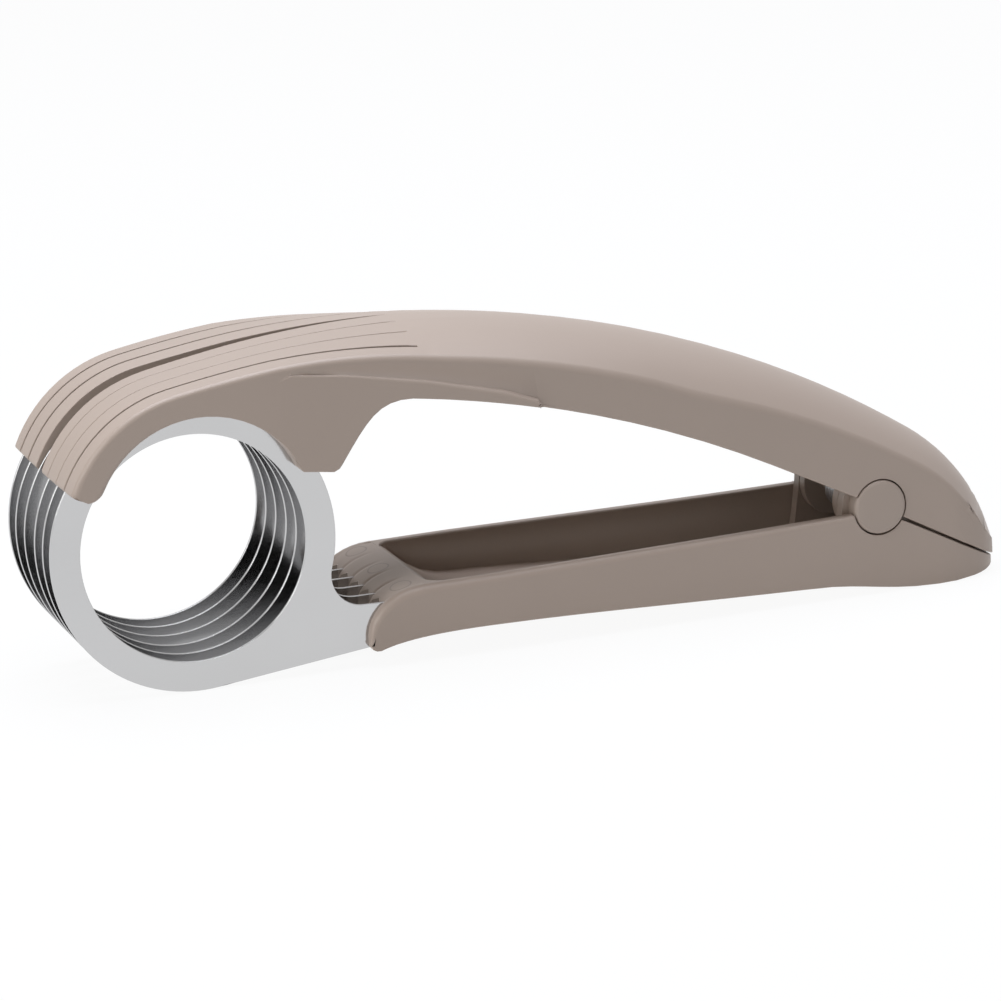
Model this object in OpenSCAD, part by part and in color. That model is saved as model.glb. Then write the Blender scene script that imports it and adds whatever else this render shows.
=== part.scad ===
// Ring-blade egg slicer: a trough handle carries a stack of ring blades, and a
// sprung arm with curved fingers squeezes the food through them.
// Millimetres. Drawn lying open on a table: X runs from the rings to the hinge,
// Y across the width, Z up. Side views are drawn in X and Z from the ring axis.

/* [Ring blades] */
// Radius of the hole in each ring
ring_hole_r = 21.5; // [20:0.5:23]
// Width of the steel rim around the hole
ring_rim = 5.7; // [4.5:0.1:7]
// Number of ring blades
ring_count = 6; // [4:1:6]
// Distance from one blade to the next
ring_pitch = 6.42; // [5.6:0.02:6.8]
// Thickness of the steel sheet
plate_t = 0.6; // [0.4:0.1:0.8]
// Height of the tang's upper edge below the ring axis
tang_drop = 15.05; // [14:0.05:16]
// Radius of the fillet between ring and tang
neck_r = 5; // [3:0.5:6]
// Slope of the tang's lower edge, in degrees
tang_slope = 6.9; // [6:0.1:8]
// Length of tang held inside the handle
tang_grip = 9; // [6:0.5:10]
// Height of the step that narrows the tang inside the handle
tang_step = 1.6; // [1.2:0.1:2.4]

/* [Fingers] */
// Width of the slits between the fingers
slit_w = 1.2; // [0.9:0.1:1.5]
// Thickness of the outermost finger on each side
cheek_finger_t = 5; // [4:0.1:5.6]
// How much smaller the fingers' inner radius is than the ring hole
finger_inset = 0.9; // [0.6:0.1:1.4]
// Forward shift of the fingers' inner arc from the ring axis
finger_arc_x = 1.1; // [0.6:0.1:1.6]
// Height of the centre of the fingers' inner arc above the ring axis
finger_arc_z = 5.1; // [4.6:0.1:5.6]
// Height of the fingers' free ends above the ring axis
finger_end_z = 12.2; // [11.8:0.1:14]
// Radius that rounds the inner corner of the fingers' free ends
finger_end_r = 3.4; // [2:0.1:3.8]
// Length of the flat bottom of the teeth beside the rings
tooth_l = 6.3; // [5:0.1:7]
// Length of the slits from the ring axis towards the hinge
slit_reach = 45; // [43:0.5:48]

/* [Arm] */
// Height of the arm's back above the pivot's level, where the long arch ends
tail_rise = 11.31; // [11:0.01:11.6]
// Radius of the arm's back where it curves down over the fingers
brow_r = 28.7; // [28.2:0.1:29.5]
// Forward shift of the brow's centre from the ring axis
brow_x = 1.7; // [1.4:0.1:2]
// Height of the brow's centre above the ring axis
brow_z = 3.3; // [3:0.1:3.6]
// Angle at which the brow passes into the arch, in degrees from upright
brow_turn = 11.3; // [11:0.1:11.7]
// Radius of the arm's back where it turns down at the tail
tail_r = 38; // [37:1:44]
// Where the tail curve begins, measured forward from the tip
tail_run = 15.2; // [13:0.2:17]
// Radius of the arm's lower edge over the handle
belly_r = 235; // [225:1:245]
// Length of the straight lower edge ahead of the pivot
belly_run = 22.6; // [20:0.2:25]
// Radius of the hollow behind the teeth
heel_r = 16.5; // [15.5:0.1:17]
// Side step between the raised webs and the arm behind the fingers
arm_step = 0.3; // [0.2:0.1:1]
// Slope of the arm's lower edge ahead of the pivot, in degrees
belly_slope = 26.7; // [25:0.1:28]
// Thickness of the arm's walls and roof
arm_wall = 2.5; // [2:0.1:3]
// Side taper of the raised web that carries the outer fingers back
web_taper = 1.7; // [1:0.1:2.4]

/* [Handle] */
// Thickness of plastic outside the outermost blades
block_cheek = 2.05; // [1.8:0.05:2.6]
// Setback of the moulded webs between the blades
web_setback = 2.6; // [2:0.1:3.2]
// Height of the handle's rim below the ring axis at the block
rim_drop = 12.1; // [11.6:0.1:12.6]
// Fall of the handle's rim below the pivot at the hinge
rim_hinge_drop = 0.9; // [0.6:0.1:1.4]
// Thickness of the handle's side walls
handle_wall = 2.5; // [2:0.1:3]
// Thickness of the handle's floor
floor_t = 2.2; // [1.8:0.1:2.8]
// Height of the arched underside above the table
arch_clear = 5.2; // [4.6:0.1:5.8]
// Height of the underside above the table just ahead of the hinge
foot_clear = 2.75; // [2.4:0.05:3.1]
// Where the trough begins, measured from the ring axis
trough_start = 44.4; // [44:0.2:47]
// Corner radius of the trough beside the block, seen from above
trough_corner_r = 4.5; // [3:0.5:6]

/* [Hinge] */
// Pivot's distance from the tails' tip
tail_l = 27.6; // [26:0.2:30]
// Pivot's drop below the ring axis
pivot_drop = 10; // [9:0.1:11]
// Width across the outer walls at the pivot
hinge_w = 30.2; // [29:0.2:32]
// Slope of the parting line between the two tails, in degrees
parting_slope = 28.2; // [27:0.1:29]
// Gap left between the two tails when the slicer rests open
parting_gap = 0.35; // [0.3:0.05:0.6]
// Overall length
overall_l = 192.4; // [190:0.2:196]
// Side taper of the tails from the pivot to the tip
tail_taper = 1.4; // [1:0.1:2]
// Corner radius of the tails, seen from above
tail_corner_r = 9; // [7:0.5:11]
// Radius that rounds the tails' tips in side view
tip_r = 5; // [4:0.5:6]
// Radius of the pin's button head
button_r = 5.35; // [5:0.05:5.6]
// How far the button heads stand out of the walls
button_proud = 0.3; // [0:0.05:0.6]
// Clearance around the button heads
button_clear = 0.25; // [0.2:0.05:0.4]
// Radius of the pivot pin
pin_r = 2.5; // [2:0.1:3]
// Running clearance of the arm on the pin
pin_clear = 0.08; // [0.04:0.01:0.1]
// Thickness of the hinge lugs
lug_t = 2.4; // [2:0.1:3]
// Radius of the hinge lugs
lug_r = 6.6; // [6:0.1:7]
// Side clearance between parts that slide past each other
side_clear = 0.3; // [0.25:0.05:0.5]

/* [Return spring] */
// Wire diameter
wire_d = 1.1; // [0.8:0.1:1.3]
// Number of turns
spring_turns = 6; // [4:1:8]
// Clearance between the coil and the pin
coil_clear = 0.4; // [0.2:0.1:0.6]
// Length of the spring's legs
leg_l = 21; // [16:1:24]

/* [Hidden] */
$fn = 96;

plastic = [0.70, 0.65, 0.60];
plastic_dark = [0.60, 0.55, 0.50];
steel = [0.80, 0.81, 0.82];
wire = [0.62, 0.62, 0.64];

ring_r = ring_hole_r + ring_rim;
stack_half = (ring_count - 1) / 2 * ring_pitch;
comb_half = stack_half + slit_w / 2 + cheek_finger_t;
block_half = stack_half + plate_t / 2 + block_cheek;
arm_half = comb_half - arm_step;
hinge_half = hinge_w / 2;
tip_half = hinge_half - tail_taper;
tip_x = overall_l - ring_r;
pivot_x = tip_x - tail_l;
pivot = [pivot_x, -pivot_drop];
reach = 400;

// Points on an arc of centre c and radius r, from angle a0 to angle a1
function arc(c, r, a0, a1, n) =
    [for (i = [0:n]) let (a = a0 + (a1 - a0) * i / n) c + r * [cos(a), sin(a)]];

// Points on the cubic curve with control points p, without its first point
function curve(p, n) =
    [for (i = [1:n]) let (t = i / n, s = 1 - t)
        s * s * s * p[0] + 3 * s * s * t * p[1] + 3 * s * t * t * p[2] + t * t * t * p[3]];

function mix(a, b, t) = a + (b - a) * t;
function clamp(v, lo, hi) = max(lo, min(hi, v));

// Puts the object over the middle of its own length, standing on Z = 0
module place() translate([ring_r - overall_l / 2, 0, ring_r]) children();

// Extrudes a side view across the width, from y0 to y1
module across(y0, y1) translate([0, y1, 0]) rotate([90, 0, 0]) linear_extrude(y1 - y0) children();

// Repeats a side piece on the near and the far side
module both_sides() {
    children();
    mirror([0, 1, 0]) children();
}

// ---- Ring blades ----

tang_foot = ring_r * [sin(tang_slope), -cos(tang_slope)];
function tang_low(x) = tang_foot[1] + (x - tang_foot[0]) * tan(tang_slope);
neck_z = neck_r - tang_drop;
neck_x = sqrt(pow(ring_r + neck_r, 2) - pow(neck_z, 2));
// The handle's front edge stands just behind the neck fillet, and the tang narrows inside it
neck_run = 1.2;
tang_lead = 2;
block_x = neck_x + neck_run;
tang_x = block_x + tang_lead;
tang_end = tang_x + tang_grip;

module blade_outline() {
    difference() {
        union() {
            circle(ring_r, $fn = 180);
            difference() {
                polygon([[0, 0], tang_foot, [tang_x, tang_low(tang_x)], [tang_x, -tang_drop],
                         [neck_x, -tang_drop], [neck_x, neck_z]]);
                translate([neck_x, neck_z]) circle(neck_r);
            }
            polygon([[block_x, tang_low(tang_x) + tang_step], [tang_end, tang_low(tang_x) + tang_step],
                     [tang_end, -tang_drop], [block_x, -tang_drop]]);
        }
        circle(ring_hole_r, $fn = 180);
    }
}

function blade_y(i) = (i - (ring_count + 1) / 2) * ring_pitch;

module blade(i) color(steel) place()
    across(blade_y(i) - plate_t / 2, blade_y(i) + plate_t / 2) blade_outline();

// ---- Arm: the arch, its crown and its outlines ----

// The arch leaves the brow at its turn and passes through the start of the tail curve
brow_c = [brow_x, brow_z];
brow_out = [-sin(brow_turn), cos(brow_turn)];
tail_start = tip_x - tail_run;
arch_v = [tail_start, tail_rise - pivot_drop] - brow_c;
arch_r = (arch_v * arch_v - 2 * brow_r * (arch_v * brow_out) + brow_r * brow_r)
    / (2 * (brow_r - arch_v * brow_out));
arch_c = brow_c - (arch_r - brow_r) * brow_out;
tail_angle = asin((tail_start - arch_c[0]) / arch_r);
tail_c = arch_c + (arch_r - tail_r) * [sin(tail_angle), cos(tail_angle)];
tail_end_angle = 84;
brow_end_angle = -78;

// The arm's back as stations [point, outward direction], from fingers to tail
function station(c, r, a) = [c + r * [sin(a), cos(a)], [sin(a), cos(a)]];
back_line = concat(
    [for (i = [0:9]) station(brow_c, brow_r, mix(brow_end_angle, -brow_turn, i / 9))],
    [for (i = [1:16]) station(arch_c, arch_r, mix(-brow_turn, tail_angle, i / 16))],
    [for (i = [1:7]) station(tail_c, tail_r, mix(tail_angle, tail_end_angle, i / 7))]);

// Curvature of the arm's cross-section: almost flat over the fingers, domed at the hinge
flat_crown = 0.0055;
dome_crown = 0.045;
crown_from = 16;
crown_to = 104;
function crown(x) = mix(flat_crown, dome_crown, clamp((x - crown_from) / (crown_to - crown_from), 0, 1));

// Drop of the back at distance y from the middle, for a curvature k
function sag(y, k) = (1 - sqrt(max(0, 1 - pow(k * y, 2)))) / k;

// The space under the crowned back, inset by a wall, as one lofted solid
loft_depth = 25;
edge_margin = 0.8;
function crown_section(s, inset, n) =
    let (k = crown(s[0][0]), wide = comb_half + 1,
         side = min(arm_half_at(s[0][0]), arm_half) + edge_margin)
    concat(
        [for (y = concat([-wide], [for (j = [0:n]) mix(-side, side, j / n)], [wide]))
            let (p = s[0] - (inset + sag(y, k)) * s[1]) [p[0], y, p[1]]],
        [for (y = [wide, -wide]) let (p = s[0] - loft_depth * s[1]) [p[0], y, p[1]]]);

module crowned_space(inset, n) {
    rows = len(back_line);
    m = n + 5;
    pts = [for (s = back_line) each crown_section(s, inset, n)];
    polyhedron(pts, concat(
        [[for (j = [m - 1:-1:0]) j]],
        [[for (j = [0:m - 1]) (rows - 1) * m + j]],
        [for (i = [0:rows - 2], j = [0:m - 1]) let (a = i * m + j, b = i * m + (j + 1) % m)
            each [[a, b, a + m], [b, b + m, a + m]]]), convexity = 6);
}

// Lower edge of the arm: a long arc that runs straight through the pivot
parting_dir = [cos(parting_slope), -sin(parting_slope)];
belly_end = pivot - belly_run * [1, -tan(belly_slope)];
belly_c = belly_end - belly_r * [sin(belly_slope), cos(belly_slope)];
arc_c = [finger_arc_x, finger_arc_z];
arc_r = ring_hole_r - finger_inset;
// The teeth's flat bottom stands a little above the finger ends and falls towards the hinge
tooth_rise = 0.9;
tooth_fall = 0.8;
tooth_z = finger_end_z + tooth_rise;
tooth_x = arc_c[0] + sqrt(pow(arc_r, 2) - pow(tooth_z - arc_c[1], 2));
tooth_end = [tooth_x + tooth_l, tooth_z - tooth_fall];
// Centre of the hollow behind the teeth: touches the belly arc and the tooth's end
heel_d = belly_r - heel_r;
heel_v = tooth_end - belly_c;
heel_a = acos((heel_d * heel_d + heel_v * heel_v - heel_r * heel_r) / (2 * heel_d * norm(heel_v)));
heel_c = belly_c + heel_d * [sin(atan2(heel_v[0], heel_v[1]) + heel_a), cos(atan2(heel_v[0], heel_v[1]) + heel_a)];
heel_turn = asin((heel_c[0] - belly_c[0]) / heel_d);

// Where the rounding of the two tips is centred, above and below the parting line
arm_tip_up = 2.2;
handle_tip_down = 1.8;

// Everything above the arm's lower edge, in side view
module arm_side() {
    intersection() {
        arm_edge(belly_r + 6);
        union() {
            tip_round(tip_x, tail_low + arm_tip_up, tip_r);
            translate([tip_x - tip_r, tail_low + arm_tip_up]) square([tip_r + 1, reach]);
        }
    }
}

module arm_edge(wide) {
    difference() {
        polygon([[-reach, finger_end_z], [arc_c[0], finger_end_z], [tooth_x, tooth_z], tooth_end,
                 heel_c, belly_end, pivot, pivot + 60 * parting_dir,
                 [reach, reach], [-reach, reach]]);
        translate(arc_c) circle(arc_r, $fn = 180);
        translate(heel_c) circle(heel_r);
        intersection() {
            translate(belly_c) circle(belly_r, $fn = 720);
            polygon([belly_c, belly_c + wide * [sin(heel_turn), cos(heel_turn)],
                     belly_c + wide * [sin(belly_slope), cos(belly_slope)]]);
        }
    }
}

// Everything ahead of a tail tip that is rounded in side view
module tip_round(x, z, r) {
    translate([-reach, -reach]) square([reach + x - r, 2 * reach]);
    translate([x - r, z]) circle(r);
}

// Half-width of the handle and of the arm at a distance x from the ring axis
taper_from = 60;
function tail_half(x) = mix(hinge_half, tip_half, (x - pivot_x) / (tip_x - pivot_x));
function arm_half_at(x) = mix(arm_half, hinge_half, (x - raised_from[0]) / (pivot_x - raised_from[0]));
channel_x = slit_reach + arm_wall;

// Outline from above of a body that tapers from x1 to the hinge and ends in the rounded tail
module plan(x0, x1, half, inset, tip_inset, corner_r) {
    r = max(1, tail_corner_r - inset);
    x_end = tip_x - tip_inset;
    y_end = tail_half(x_end) - inset - r;
    side = half - inset;
    polygon(concat(
        arc([x0 + corner_r, corner_r - side], corner_r, 180, 270, 5),
        [[x1, -side], [pivot_x, inset - hinge_half]],
        arc([x_end - r, -y_end], r, -90, 0, 8),
        arc([x_end - r, y_end], r, 0, 90, 8),
        [[pivot_x, hinge_half - inset], [x1, side]],
        arc([x0 + corner_r, side - corner_r], corner_r, 90, 180, 5)));
}

module stand() translate([0, 0, -reach / 2]) linear_extrude(reach) children();

// The upper edge of the raised webs that carry the outer fingers back along the arm
web_line = [[70, 16], [67, 20.9], [60, 23.5], [45, 27.3], [15.9, 33.1]];
raised_to = web_line[0];
raised_from = web_line[4];
module comb_side() intersection() {
    arm_side();
    polygon(concat([[-reach, -reach], [raised_to[0], -reach]], web_line,
                   [[raised_from[0], reach], [-reach, reach]]));
}

module comb_plan() polygon([
    [-60, -comb_half], [raised_from[0], -comb_half], [raised_to[0], web_taper - comb_half],
    [raised_to[0], comb_half - web_taper], [raised_from[0], comb_half], [-60, comb_half]]);

hinge_wall = max(handle_wall, arm_wall);
layer_1 = tail_half(pivot_x + lug_r) - hinge_wall - side_clear;
layer_2 = layer_1 - lug_t - side_clear;

// Where the spring's upper leg ends, from the pivot
coil_r = pin_r + coil_clear + wire_d / 2;
arm_leg_a = 150;
arm_leg_tip = coil_r * [sin(arm_leg_a), -cos(arm_leg_a)] + leg_l * [cos(arm_leg_a), sin(arm_leg_a)];

// Ribs that carry the arm's lugs, one each side of the spring, and the bar the spring's leg lifts
bar_t = 2;
rib_run = bar_t / 2 - arm_leg_tip[0];
module arm_lug() {
    across(layer_2 - lug_t, layer_2) translate(pivot) circle(lug_r);
    across(layer_2 - lug_t, layer_2) intersection() {
        arm_side();
        translate(pivot) polygon([[-rib_run, -lug_r], [lug_r, -lug_r], [lug_r + 3, 40], [-rib_run, 40]]);
    }
}

module spring_bar() across(lug_t - layer_2, layer_2 - lug_t)
    translate(pivot + [-rib_run, arm_leg_tip[1] + wire_d / 2]) square([bar_t, 40]);

module slits() for (i = [1:ring_count]) translate([-60, blade_y(i) - slit_w / 2, -reach / 2])
    cube([60 + slit_reach, slit_w, reach]);

// Rounds the inner corner of the free ends, touching both the end and the inner arc
module finger_ends() {
    rise = finger_end_z + finger_end_r - arc_c[1];
    corner = arc_c[0] - sqrt(pow(arc_r + finger_end_r, 2) - pow(rise, 2));
    touch = finger_end_r - finger_end_r * rise / (arc_r + finger_end_r);
    across(-comb_half - 1, comb_half + 1) difference() {
        translate([corner, finger_end_z - 1]) square([4 * finger_end_r, touch + 1]);
        translate([corner, finger_end_z + finger_end_r]) circle(finger_end_r);
    }
}

module arm() color(plastic) place() difference() {
    intersection() {
        union() {
            difference() {
                intersection() {
                    across(-arm_half, arm_half) arm_side();
                    stand() plan(raised_from[0], raised_from[0] + 1, arm_half, 0, 0, 0.5);
                }
                intersection() {
                    crowned_space(arm_wall, 10);
                    stand() plan(channel_x, channel_x + 4, arm_half_at(channel_x), arm_wall, arm_wall + 0.5, 3);
                }
            }
            intersection() {
                across(-comb_half, comb_half) comb_side();
                difference() {
                    stand() comb_plan();
                    stand() plan(channel_x, channel_x + 4, arm_half_at(channel_x), arm_wall, arm_wall + 0.5, 3);
                }
            }
            both_sides() arm_lug();
            spring_bar();
        }
        crowned_space(0, 16);
    }
    slits();
    finger_ends();
    both_sides() across(layer_1, reach) translate(pivot) circle(button_r + button_clear);
    across(-hinge_w, hinge_w) translate(pivot) circle(pin_r + pin_clear);
}

// ---- Handle ----

rim_z = -rim_drop;
hinge_rim_z = -pivot_drop - rim_hinge_drop;
// Plastic under the tangs at the block's front edge
block_lip = 0.6;
block_low = tang_low(block_x) - block_lip;
tail_low = -pivot_drop - (tip_x - pivot_x) * tan(parting_slope);
arch_z = arch_clear - ring_r;
// The handle's tail is a little shorter than the arm's and lies a gap below it
tail_short = 0.4;
tail_gap = parting_gap / cos(parting_slope);
heel_x = pivot_x + 13;

// The handle's underside from the block to the tail, lifted by a wall thickness
arch_from = [block_x + 1.5, block_low];
arch_to = [pivot_x - 12.6, foot_clear - ring_r];
heel_from = [heel_x, -ring_r];
heel_to = [tip_x, tail_low - 1];
function underside(lift) = [for (p = concat(
    [arch_from],
    curve([arch_from, [mix(arch_from[0], arch_to[0], 0.139), arch_z + 2.2],
           [mix(arch_from[0], arch_to[0], 0.509), arch_z - 1], arch_to], 12),
    curve([arch_to, arch_to + [9, -0.45], heel_from - [10.6, 0], heel_from], 8),
    curve([heel_from, heel_from + [6.5, 0], [tip_x - 3, 1 - ring_r], heel_to], 8)))
    [p[0], p[1] + lift]];

// Length of the rim that curves down into the nose of the block
nose_l = 12;
// How far cutting shapes stand off the faces they pass
clear_of = 4;
// The rounded nose of the block, moved back by a setback, from the rim down
function block_end(back) = let (x = block_x + back) concat(
    [[x + nose_l, rim_z]],
    curve([[x + nose_l, rim_z], [x + 4.6, rim_z - 0.1], [x - 0.6, rim_z - 4.6], [x, block_low + 1.5]], 10));

module handle_side() intersection() {
    polygon(concat(block_end(0), underside(0),
        [[tip_x, tail_low - tail_gap], pivot - [0, tail_gap], [pivot_x, hinge_rim_z]]));
    tip_round(tip_x - tail_short, tail_low - handle_tip_down, tip_r);
}

// Where the trough's end wall slopes down to the floor
module trough_side() polygon(concat(
    [[trough_start, 10], [trough_start, rim_z]],
    curve([[trough_start, rim_z], [trough_start + 4, rim_z - 1.6], [trough_start + 5.5, arch_z + floor_t],
           [trough_start + 15, arch_z + floor_t]], 8),
    [for (p = underside(floor_t)) if (p[0] > trough_start + 16 && p[0] < tip_x - 4) p],
    [[tip_x - 4, 10]]));

// Spaces between the blades where the webs stand back from the block's end
module web_gap(i) {
    y0 = blade_y(i) + plate_t / 2;
    y1 = blade_y(i + 1) - plate_t / 2;
    across(y0, y1) polygon(concat(
        [[block_x - clear_of, rim_z + clear_of], [block_x + web_setback + nose_l, rim_z + clear_of]],
        block_end(web_setback),
        [[block_x + web_setback, block_low - clear_of], [block_x - clear_of, block_low - clear_of]]));
}

module foot_side() {
    translate(pivot) circle(lug_r);
    intersection() {
        handle_side();
        translate(pivot) polygon([[-lug_r - 2, -20], [lug_r + 2, -20], [lug_r, 0], [-lug_r, 0]]);
    }
}

module handle_lug() {
    across(layer_1 - lug_t, layer_1) foot_side();
    across(layer_1 - lug_t, hinge_half - hinge_wall + 0.2) intersection() {
        handle_side();
        foot_side();
    }
}

module handle() color(plastic) place() difference() {
    union() {
        difference() {
            intersection() {
                across(-block_half, block_half) handle_side();
                stand() plan(block_x, taper_from, block_half, 0, tail_short, 1.8);
            }
            intersection() {
                across(-block_half, block_half) trough_side();
                stand() plan(trough_start, taper_from, block_half, handle_wall, handle_wall + 0.5,
                             trough_corner_r);
            }
        }
        both_sides() handle_lug();
    }
    for (i = [1:ring_count - 1]) web_gap(i);
    for (i = [1:ring_count]) across(blade_y(i) - plate_t / 2, blade_y(i) + plate_t / 2) blade_outline();
    both_sides() across(layer_1, reach) translate(pivot) circle(button_r + button_clear);
    across(-hinge_w, hinge_w) translate(pivot) circle(pin_r);
}

// ---- Hinge pin ----

button_t = hinge_half + button_proud - layer_1;
button_edge = 0.8;
cap_bore = button_t - 1.2;

// A button head, turned about the pin's own axis, its seat at height 0
module button() rotate_extrude() {
    square([button_r, button_t - button_edge]);
    square([button_r - button_edge, button_t]);
    translate([button_r - button_edge, button_t - button_edge]) circle(button_edge, $fn = 48);
}

module on_axis(y, a) translate([pivot_x, y, -pivot_drop]) rotate([a, 0, 0]) children();

module pivot_pin() color(plastic_dark) place() {
    on_axis(-layer_1, 90) button();
    on_axis(-layer_1, -90) cylinder(r = pin_r, h = 2 * layer_1 + cap_bore);
}

module pin_cap() color(plastic_dark) place() on_axis(layer_1, -90) difference() {
    button();
    translate([0, 0, -1]) cylinder(r = pin_r, h = cap_bore + 1);
}

// ---- Return spring ----

coil_pitch = wire_d + 0.15;
// The lower leg slopes down until its end lies on the handle's floor
leg_rest = ring_r - pivot_drop - (foot_clear + 0.1 + floor_t) - wire_d / 2;
floor_leg_a = 180 + asin(leg_rest / norm([leg_l, coil_r])) - atan2(coil_r, leg_l);

// Centre line of the wire: floor leg, coil, arm leg
coil_from = floor_leg_a + 90;
coil_sweep = arm_leg_a - 90 + 360 * spring_turns - coil_from;
coil_half = coil_pitch * coil_sweep / 720;
coil_steps = round(coil_sweep / 18);
function coil_point(t) = let (a = coil_from + coil_sweep * t)
    [coil_r * cos(a), mix(-coil_half, coil_half, t), coil_r * sin(a)];
wire_line = concat(
    [coil_point(0) + leg_l * [cos(floor_leg_a), 0, sin(floor_leg_a)],
     coil_point(0) + 2 * [cos(floor_leg_a), 0, sin(floor_leg_a)]],
    [for (i = [0:coil_steps]) coil_point(i / coil_steps)],
    [coil_point(1) + 2 * [cos(arm_leg_a), 0, sin(arm_leg_a)],
     coil_point(1) + leg_l * [cos(arm_leg_a), 0, sin(arm_leg_a)]]);

function unit(v) = v / norm(v);

// A round wire swept along a line of points that never runs straight across the width
module swept_wire(line, r, sides) {
    last = len(line) - 1;
    rings = [for (i = [0:last])
        let (d = unit(line[min(i + 1, last)] - line[max(i - 1, 0)]),
             u = unit(cross(d, [0, 1, 0])), v = cross(d, u))
        each [for (j = [0:sides - 1]) let (a = 360 * j / sides) line[i] + r * (cos(a) * u + sin(a) * v)]];
    polyhedron(rings, concat(
        [[for (j = [0:sides - 1]) j]],
        [[for (j = [sides - 1:-1:0]) last * sides + j]],
        [for (i = [0:last - 1], j = [0:sides - 1])
            let (a = i * sides + j, b = i * sides + (j + 1) % sides)
            each [[a, a + sides, b], [b, a + sides, b + sides]]]), convexity = 10);
}

module return_spring() color(wire) place() translate([pivot_x, 0, -pivot_drop])
    swept_wire(wire_line, wire_d / 2, 8);

handle();
arm();
for (i = [1:ring_count]) blade(i);
pivot_pin();
pin_cap();
return_spring();
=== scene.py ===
"""An egg slicer lying open: a trough handle with six ring blades, and a sprung arm of curved fingers.
Lengths are in millimetres from the ring axis; place() turns them into metres in the model's frame."""

import math

import bmesh
import bpy
import numpy as np
from mathutils import Matrix, Vector, geometry


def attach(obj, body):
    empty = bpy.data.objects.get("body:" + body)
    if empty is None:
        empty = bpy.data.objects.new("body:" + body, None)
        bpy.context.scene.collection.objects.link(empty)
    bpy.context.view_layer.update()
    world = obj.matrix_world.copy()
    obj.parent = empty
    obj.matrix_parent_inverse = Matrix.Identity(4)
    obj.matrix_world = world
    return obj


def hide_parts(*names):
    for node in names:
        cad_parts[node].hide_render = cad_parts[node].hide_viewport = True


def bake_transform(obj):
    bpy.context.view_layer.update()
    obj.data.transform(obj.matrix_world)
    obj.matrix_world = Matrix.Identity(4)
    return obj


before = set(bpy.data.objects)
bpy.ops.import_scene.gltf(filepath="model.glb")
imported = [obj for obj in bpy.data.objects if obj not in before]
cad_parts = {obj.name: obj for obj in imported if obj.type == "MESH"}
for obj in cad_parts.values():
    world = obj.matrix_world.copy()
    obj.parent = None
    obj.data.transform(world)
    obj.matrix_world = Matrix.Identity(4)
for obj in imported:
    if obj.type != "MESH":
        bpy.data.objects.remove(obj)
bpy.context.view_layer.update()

# ---- The viewpoint ----
# A long lens looks along the slicer from the finger end, a little above the table.
# It stands about 0.9 m away and leans slightly to one side.
camera = bpy.data.objects.new("camera", bpy.data.cameras.new("camera"))
bpy.context.scene.collection.objects.link(camera)
to_right = Vector((0.941259, -0.335220, -0.040745))
to_top = Vector((0.122842, 0.227511, 0.965996))
to_back = Vector((-0.314551, -0.914257, 0.255326))
camera.matrix_world = Matrix.Translation((-0.290446, -0.833591, 0.256955)) @ Matrix(
    (to_right, to_top, to_back)).transposed().to_4x4()
camera.data.sensor_fit = "HORIZONTAL"
camera.data.sensor_width = 36
camera.data.lens = 171.7775
camera.data.clip_end = 20
bpy.context.scene.camera = camera

# ---- The ring blades ----
# Six rings stamped from sheet steel, each with a tang that runs back into the handle.
# The handle is moulded around the tangs; the rings stand free and are never quite in line.
ring_hole_r = 21.5
ring_r = 27.2
plate_t = 0.6
ring_pitch = 6.42
ring_count = 6
tang_top = -15.05
tang_slope = math.radians(6.9)
neck_r = 6.2
tang_end = 42.8
tang_step = 1.6
rim_round = 0.11
ring_lean = [0.0, 1.1, 1.5, 0.5, 0.3, 1.3]


def place(x, y, z):
    """A point given from the ring axis, in millimetres, as metres in the model's frame."""
    return ((x - 69.0) / 1000, y / 1000, (z + 27.2) / 1000)


def arc(centre, r, start, end, steps):
    """Points on an arc in side view, from angle start to end in degrees, both included."""
    angles = np.radians(np.linspace(start, end, steps + 1))
    return [(centre[0] + r * math.cos(a), centre[1] + r * math.sin(a)) for a in angles]


def blade_y(number):
    return (number - (ring_count - 1) / 2) * ring_pitch


def tidy_mesh(name, builder):
    """Finishes a bmesh: welds it, turns its faces outward and gives it an object."""
    bmesh.ops.remove_doubles(builder, verts=builder.verts, dist=1e-6)
    bmesh.ops.dissolve_degenerate(builder, edges=builder.edges, dist=1e-7)
    bmesh.ops.recalc_face_normals(builder, faces=builder.faces)
    mesh = bpy.data.meshes.new(name)
    builder.to_mesh(mesh)
    builder.free()
    mesh.shade_smooth()
    piece = bpy.data.objects.new(name, mesh)
    bpy.context.scene.collection.objects.link(piece)
    return piece


def cut_out(builder, outline, holes, y0, y1):
    """Adds a flat shape to a bmesh: an outline with holes in side view, from y0 to y1."""
    loops = [[Vector((x, z, 0)) for x, z in loop] for loop in [outline] + holes]
    flat = [p for loop in loops for p in loop]
    sides = [[builder.verts.new(place(p.x, y, p.y)) for p in flat] for y in (y0, y1)]
    for a, b, c in geometry.tessellate_polygon(loops):
        for side in sides:
            builder.faces.new((side[a], side[b], side[c]))
    first = 0
    for loop in loops:
        n = len(loop)
        for i in range(n):
            a, b = first + i, first + (i + 1) % n
            builder.faces.new((sides[0][a], sides[0][b], sides[1][b], sides[1][a]))
        first += n


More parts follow.
